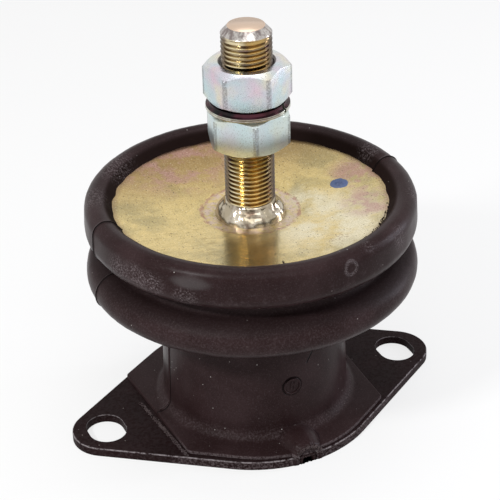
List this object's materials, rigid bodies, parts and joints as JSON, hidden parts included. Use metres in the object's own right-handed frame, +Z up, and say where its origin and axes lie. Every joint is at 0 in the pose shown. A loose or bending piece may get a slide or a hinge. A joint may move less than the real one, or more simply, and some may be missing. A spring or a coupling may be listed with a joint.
{
  "type": "engine mount",
  "caption": "Bonded rubber engine mount: double-bead rubber body on a slotted steel flange, dished top plate with a threaded stud, hex nuts and a spring washer.",
  "frame": {"origin": "centre of the base flange's underside, below the stud's axis", "axes": "+Z up along the stud, +X along the line through the two bolt slots, -Y the side with the moulding gate"},
  "size_m": [0.1304, 0.1078, 0.1366],
  "materials": {
    "flange_steel": "black coated sheet steel, satin, with rubber flash at its edge",
    "moulded_rubber": "moulded brown-black rubber, satin, with scuffs and pale bloom",
    "passivated_steel": "yellow passivated zinc plate with pink and green tints",
    "stud_steel": "yellow passivated zinc on rolled thread",
    "weld_steel": "bright plated weld metal, rippled",
    "zinc_steel": "clear zinc plate with a faint blue-green tint"
  },
  "bodies": {
    "root": {"base_plate": "flange_steel", "rubber_body": "moulded_rubber", "top_plate": "passivated_steel", "stud": "stud_steel", "weld_bead": "weld_steel", "lower_nut": "zinc_steel", "spring_washer": "zinc_steel", "upper_nut": "zinc_steel"}
  },
  "joints": []
}
